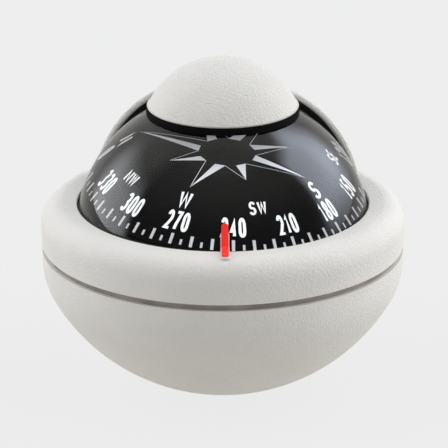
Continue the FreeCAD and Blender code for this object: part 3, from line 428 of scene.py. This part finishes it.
class Print:
    """Flat shapes gathered into one mesh just over the card."""

    def __init__(self, surface):
        self.surface = surface
        self.corners = []
        self.faces = []

    def ribbon(self, corners):
        """A row of four-sided faces through corners that are listed left, right, left, right."""
        start = len(self.corners)
        self.corners.extend(corners)
        for n in range(start, start + len(corners) - 2, 2):
            self.faces.append((n, n + 1, n + 3, n + 2))

    def plan_point(self, spot):
        """The place on the card under a spot of its plan."""
        return self.surface.point(self.surface.along(spot.length), math.atan2(spot.y, spot.x))

    def strip(self, left, right):
        """A band between two lists of points on the plan of the card."""
        self.ribbon([self.plan_point(spot) for pair in zip(left, right) for spot in pair])

    def tick(self, heading, inner, outer, width):
        """A radial bar, as wide at its outer end as at its inner one."""
        way = polar(1.0, azimuth(heading))
        side = Vector((-way.y, way.x)) * (width / 2)
        spots = [way * (inner + (outer - inner) * step / 4) for step in range(5)]
        self.strip([spot - side for spot in spots], [spot + side for spot in spots])

    def stroke(self, points, weight, half, to_card):
        """A ribbon along points of the flat word, its corners mitred, laid on the card by to_card.

        Corners are cut off at half the word's height.
        """
        closed = (points[0] - points[-1]).length < MM / 1e6
        if closed:
            points = points[:-1]
        count = len(points)
        left, right = [], []
        for index, spot in enumerate(points):
            before = points[index - 1] if closed or index else None
            after = points[(index + 1) % count] if closed or index < count - 1 else None
            way_in = (spot - before).normalized() if before else (after - spot).normalized()
            way_out = (after - spot).normalized() if after else way_in
            normal = Vector((-way_in.y - way_out.y, way_in.x + way_out.x)).normalized()
            reach = weight / 2 / max(normal.dot(Vector((-way_in.y, way_in.x))), SHARPEST)
            left.append(spot + normal * reach)
            right.append(spot - normal * reach)
        if closed:
            left.append(left[0])
            right.append(right[0])
        left = [Vector((spot.x, max(-half, min(half, spot.y)))) for spot in left]
        right = [Vector((spot.x, max(-half, min(half, spot.y)))) for spot in right]
        pairs = []
        for (a, b), (c, d) in zip(zip(left, right), zip(left[1:], right[1:])):
            steps = max(1, round((c - a).length / FINE_STEP))
            pairs += [(blend(a, c, n / steps), blend(b, d, n / steps)) for n in range(steps)]
        pairs.append((left[-1], right[-1]))
        self.ribbon([to_card(spot) for pair in pairs for spot in pair])

    def word(self, text, heading, style):
        """A word whose tops face the middle of the card."""
        facing = azimuth(heading)
        distance = self.surface.along(style.radius)
        weight = style.weight
        spans = [style.width * WIDTHS.get(letter, 1.0) for letter in text]
        start = -(sum(spans) + style.gap * (len(text) - 1)) / 2

        def to_card(spot):
            return self.surface.point(distance - spot.y, facing + spot.x / style.radius)

        for letter, span in zip(text, spans):
            for stroke in GLYPHS[letter]:
                spots = [
                    Vector((start + weight / 2 + x * (span - weight), (y - 0.5) * (style.height - weight)))
                    for x, y in stroke
                ]
                self.stroke(spots, weight, style.height / 2, to_card)
            start += span + style.gap

    def finish(self, name, material):
        """Makes the mesh, which rides on the card."""
        mesh = bpy.data.meshes.new(name)
        mesh.from_pydata(self.corners, [], self.faces)
        mesh.materials.append(material)
        piece = bpy.data.objects.new(name, mesh)
        bpy.context.scene.collection.objects.link(piece)
        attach(piece, "card")
        return piece


def print_rose(surface, material):
    """Eight arms round a plain hub, each with one half filled and the other in outline."""
    rose = Print(surface)
    hub = 5.2 * MM
    half_arm = math.radians(22.5)
    line = 0.11 * MM
    long_arm = 17.1 * MM
    short_arm = 11.45 * MM
    steps = 8
    for number in range(8):
        middle = azimuth(45 * number)
        reach = long_arm if number % 2 == 0 else short_arm
        tip = polar(reach, middle)
        root = polar(hub, middle)
        filled = polar(hub, middle + half_arm)
        valley = polar(hub, middle - half_arm)
        shares = [step / steps for step in range(steps + 1)]
        rose.strip([blend(filled, tip, n) for n in shares], [blend(root, tip, n) for n in shares])
        way = (tip - valley).normalized() * line
        side = Vector((-way.y, way.x))
        edge = [blend(valley, tip, n) for n in shares]
        rose.strip([spot - side for spot in edge], edge)
    return rose.finish("card_rose", material)


def print_scale(surface, material):
    """A long tick at every ten degrees and a short one between."""
    scale = Print(surface)
    for heading in range(0, 360, 5):
        if heading % 10 == 0:
            scale.tick(heading, 24.95 * MM, 26.75 * MM, 0.68 * MM)
        else:
            scale.tick(heading, 25.7 * MM, 26.6 * MM, 0.52 * MM)
    return scale.finish("card_scale", material)


def white_ink(name, painted_shade_factor):
    """White print with a little random wear, and painted shade where its factor is under 1."""
    look = Look(name, IOR=1.5, Specular_IOR_Level=0.04)
    # A factor under 1 darkens the ink as painted shade.
    colour = tint((0.93, 0.95, 0.98), painted_shade_factor)
    wear = look.noise(1.2 * MM, detail=4.0)
    look.colour(look.ramp(wear, [(0.3, tint(colour, 0.925)), (0.65, colour)]))
    grain = look.noise(0.15 * MM)
    look.roughness(look.spread(grain, 0.5, 0.7))
    look.bump(grain, 0.005 * MM)
    return look.material


def print_card():
    """Prints the card and gives back the printed pieces."""
    ink = white_ink("card_print", 1.0)
    surface = CardSurface(NODES["compass_card"], JOINTS["card_spin"])
    pieces = [print_rose(surface, ink)]
    # The scale's ticks get painted shade: their ink is darkened to 0.6 for the lesser light on the card's
    # steep edge.
    pieces.append(print_scale(surface, white_ink("card_scale_print", 0.6)))
    numbers = Print(surface)
    number_style = Style(radius=22.9 * MM, height=4.55 * MM, width=1.58 * MM, gap=0.27 * MM, weight=0.63 * MM)
    for heading in range(0, 360, 30):
        numbers.word(str(heading), heading, number_style)
    pieces.append(numbers.finish("card_numbers", ink))
    letters = Print(surface)
    single = Style(radius=19.45 * MM, height=4.0 * MM, width=2.1 * MM, gap=0.0, weight=0.65 * MM)
    pair = Style(radius=19.85 * MM, height=3.05 * MM, width=1.55 * MM, gap=0.27 * MM, weight=0.5 * MM)
    for number, name in enumerate(("N", "NE", "E", "SE", "S", "SW", "W", "NW")):
        letters.word(name, 45 * number, single if len(name) == 1 else pair)
    pieces.append(letters.finish("card_letters", ink))
    return pieces


PRINTED = print_card()


# ---- studio -----------------------------------------------------------------------------------

CAMERA_DISTANCE = 0.488
CAMERA_ELEVATION = math.radians(20.2)
CAMERA_TURN = math.radians(-0.8)
FRAME_SHIFT = (0.28 * MM, 2.73 * MM)
PALE = 0.855
FLOOR_RADIUS = 4.0


def make_camera():
    """The helmsman's view, a little above the card."""
    data = bpy.data.cameras.new("camera")
    data.sensor_width = 36.0
    data.lens = 160.7
    data.clip_start = 0.01
    camera = bpy.data.objects.new("camera", data)
    bpy.context.scene.collection.objects.link(camera)
    turn = Matrix.Rotation(CAMERA_TURN, 4, "Z") @ Matrix.Rotation(math.pi / 2 - CAMERA_ELEVATION, 4, "X")
    camera.matrix_world = Matrix.Translation(CENTRE) @ turn @ Matrix.Translation(
        (FRAME_SHIFT[0], FRAME_SHIFT[1], CAMERA_DISTANCE))
    bpy.context.scene.camera = camera


def make_card_lamp():
    """A lamp in front that lights the print alone, which the sky leaves too dark."""
    distance = 95 * MM
    data = bpy.data.lights.new("card_lamp", "AREA")
    data.shape = "DISK"
    data.size = 24 * MM
    data.energy = 0.0285
    lamp = bpy.data.objects.new("card_lamp", data)
    bpy.context.scene.collection.objects.link(lamp)
    way = Vector((0.0, -62.0, 72.0)).normalized()
    facing = way.to_track_quat("Z", "Y").to_matrix().to_4x4()
    lamp.matrix_world = Matrix.Translation(CENTRE + way * distance) @ facing
    lamp.visible_camera = False
    lamp.visible_glossy = False
    lamp.visible_transmission = False
    receivers = bpy.data.collections.new("card_lamp_receivers")
    for piece in PRINTED:
        receivers.objects.link(piece)
    lamp.light_linking.receiver_collection = receivers


def make_floor():
    """A round light table, clear from below so that the foot can be seen."""
    count = 96
    mesh = bpy.data.meshes.new("floor")
    rim = [polar(FLOOR_RADIUS, 2 * math.pi * n / count).to_3d() for n in range(count)]
    mesh.from_pydata(rim, [], [tuple(range(count))])
    floor = bpy.data.objects.new("floor", mesh)
    bpy.context.scene.collection.objects.link(floor)
    look = Look("floor_light_table", Roughness=0.9)
    paper = look.noise(0.15, detail=2.0)
    look.colour(look.ramp(paper, [(0.3, grey(0.059)), (0.7, grey(0.061))]))
    path = look.node("ShaderNodeLightPath")
    seen = path.outputs["Is Camera Ray"]
    look.link(look.spread(seen, 0.575, 0.785), look.shader.inputs["Emission Strength"])
    glow = look.ramp(seen, [(0.0, (1.0, 0.975, 0.93)), (1.0, grey(1.0))])
    look.link(glow, look.shader.inputs["Emission Color"])
    look.shader.inputs["Specular IOR Level"].default_value = 0.0
    below = look.node("ShaderNodeNewGeometry").outputs["Backfacing"]
    look.mixed(below, look.shader, look.node("ShaderNodeBsdfTransparent"))
    mesh.materials.append(look.material)


class Sky:
    """The studio round the compass: soft boxes on a dim room, by direction."""

    def __init__(self):
        world = bpy.data.worlds.new("studio")
        bpy.context.scene.world = world
        world.use_nodes = True
        self.tree = world.node_tree
        self.tree.nodes.clear()
        way = self.tree.nodes.new("ShaderNodeSeparateXYZ")
        place = self.tree.nodes.new("ShaderNodeTexCoord")
        self.tree.links.new(place.outputs["Generated"], way.inputs["Vector"])
        self.elevation = self.math("ARCSINE", way.outputs["Z"])
        self.azimuth = self.math("ARCTAN2", way.outputs["X"], way.outputs["Y"])

    def math(self, operation, *values):
        """The result of a sum on numbers and other nodes' outputs."""
        made = self.tree.nodes.new("ShaderNodeMath")
        made.operation = operation
        for socket, value in zip(made.inputs, values):
            if isinstance(value, bpy.types.NodeSocket):
                self.tree.links.new(value, socket)
            else:
                socket.default_value = value
        return made.outputs["Value"]

    def constant(self, value):
        made = self.tree.nodes.new("ShaderNodeValue")
        made.outputs["Value"].default_value = value
        return made.outputs["Value"]

    def step(self, value, edge, width):
        """Rises from 0 to 1 across an edge, in degrees; a negative width falls."""
        made = self.tree.nodes.new("ShaderNodeMapRange")
        made.interpolation_type = "SMOOTHSTEP"
        made.inputs["From Min"].default_value = math.radians(edge - width / 2)
        made.inputs["From Max"].default_value = math.radians(edge + width / 2)
        self.tree.links.new(value, made.inputs["Value"])
        return made.outputs["Result"]

    def window(self, across, rise):
        """A soft-edged box from edges of (degrees, softness)."""
        (left, left_soft), (right, right_soft) = across
        (low, low_soft), (high, high_soft) = rise
        edges = [
            self.step(self.azimuth, left, left_soft),
            self.step(self.azimuth, right, -right_soft),
            self.step(self.elevation, low, low_soft),
            self.step(self.elevation, high, -high_soft),
        ]
        result = edges[0]
        for edge in edges[1:]:
            result = self.math("MULTIPLY", result, edge)
        return result

    def tinted(self, amount, colour):
        """A colour times an amount."""
        made = self.tree.nodes.new("ShaderNodeVectorMath")
        made.operation = "SCALE"
        made.inputs[0].default_value = colour
        self.tree.links.new(amount, made.inputs["Scale"])
        return made.outputs["Vector"]

    def plus(self, first, second):
        """The sum of two colours."""
        made = self.tree.nodes.new("ShaderNodeVectorMath")
        made.operation = "ADD"
        self.tree.links.new(first, made.inputs[0])
        self.tree.links.new(second, made.inputs[1])
        return made.outputs["Vector"]

    def finish(self, mirrored, lighting):
        """Mirrors show one sky, the camera sees a plain backdrop, and the other sky lights the rest."""
        path = self.tree.nodes.new("ShaderNodeLightPath")
        shaders = []
        for colour in (lighting, mirrored):
            shader = self.tree.nodes.new("ShaderNodeBackground")
            self.tree.links.new(colour, shader.inputs["Color"])
            shaders.append(shader.outputs["Background"])
        backdrop = self.tree.nodes.new("ShaderNodeBackground")
        backdrop.inputs["Color"].default_value = (PALE, PALE, PALE, 1.0)
        shaders.append(backdrop.outputs["Background"])
        shown = shaders[0]
        for ray, shader in zip(("Is Singular Ray", "Is Camera Ray"), shaders[1:]):
            mix = self.tree.nodes.new("ShaderNodeMixShader")
            self.tree.links.new(path.outputs[ray], mix.inputs["Fac"])
            self.tree.links.new(shown, mix.inputs[1])
            self.tree.links.new(shader, mix.inputs[2])
            shown = mix.outputs["Shader"]
        output = self.tree.nodes.new("ShaderNodeOutputWorld")
        self.tree.links.new(shown, output.inputs["Surface"])

    def glow(self, parts):
        """The sum of (amount, strength, colour)."""
        total = None
        for amount, strength, colour in parts:
            part = self.tinted(self.math("MULTIPLY", amount, strength), colour)
            total = part if total is None else self.plus(total, part)
        return total


def make_world():
    """Soft boxes to the right and left, and a dimmer one above."""
    sky = Sky()
    warm = (1.0, 0.985, 0.96)
    daylight = (0.985, 1.0, 1.025)
    right = sky.window(((41, 26), (90, 12)), ((8, 30), (52, 14)))
    left = sky.window(((-97, 10), (-50, 24)), ((-4, 10), (30, 24)))
    above = sky.step(sky.elevation, 66, 16)
    behind = sky.step(sky.math("COSINE", sky.azimuth), 0, 30)
    low = sky.window(((-181, 1), (181, 1)), ((-10, 20), (70, 60)))
    everywhere = sky.constant(1.0)
    mirrored = sky.glow([
        (right, 4.3, (0.92, 1.0, 1.19)),
        (left, 3.0, (0.96, 1.0, 1.03)),
        (above, 0.3, warm),
        (sky.math("MULTIPLY", behind, low), 0.6, warm),
        (everywhere, 0.10, warm),
        (sky.step(sky.elevation, 38, 44), 0.34, warm),
    ])
    right_side = sky.window(((40, 50), (130, 50)), ((-5, 20), (70, 30)))
    left_side = sky.window(((-130, 50), (-40, 50)), ((-5, 20), (70, 30)))
    rear_side = sky.window(((-40, 50), (40, 50)), ((-5, 20), (70, 30)))
    top = sky.step(sky.elevation, 70, 30)
    lighting = sky.glow([
        (right_side, 2.34, daylight),
        (left_side, 1.98, daylight),
        (rear_side, 0.61, daylight),
        (top, 0.5, daylight),
        (everywhere, 0.02, warm),
    ])
    sky.finish(mirrored, lighting)


make_camera()
make_card_lamp()
make_floor()
make_world()
bpy.context.scene.view_settings.view_transform = "Standard"
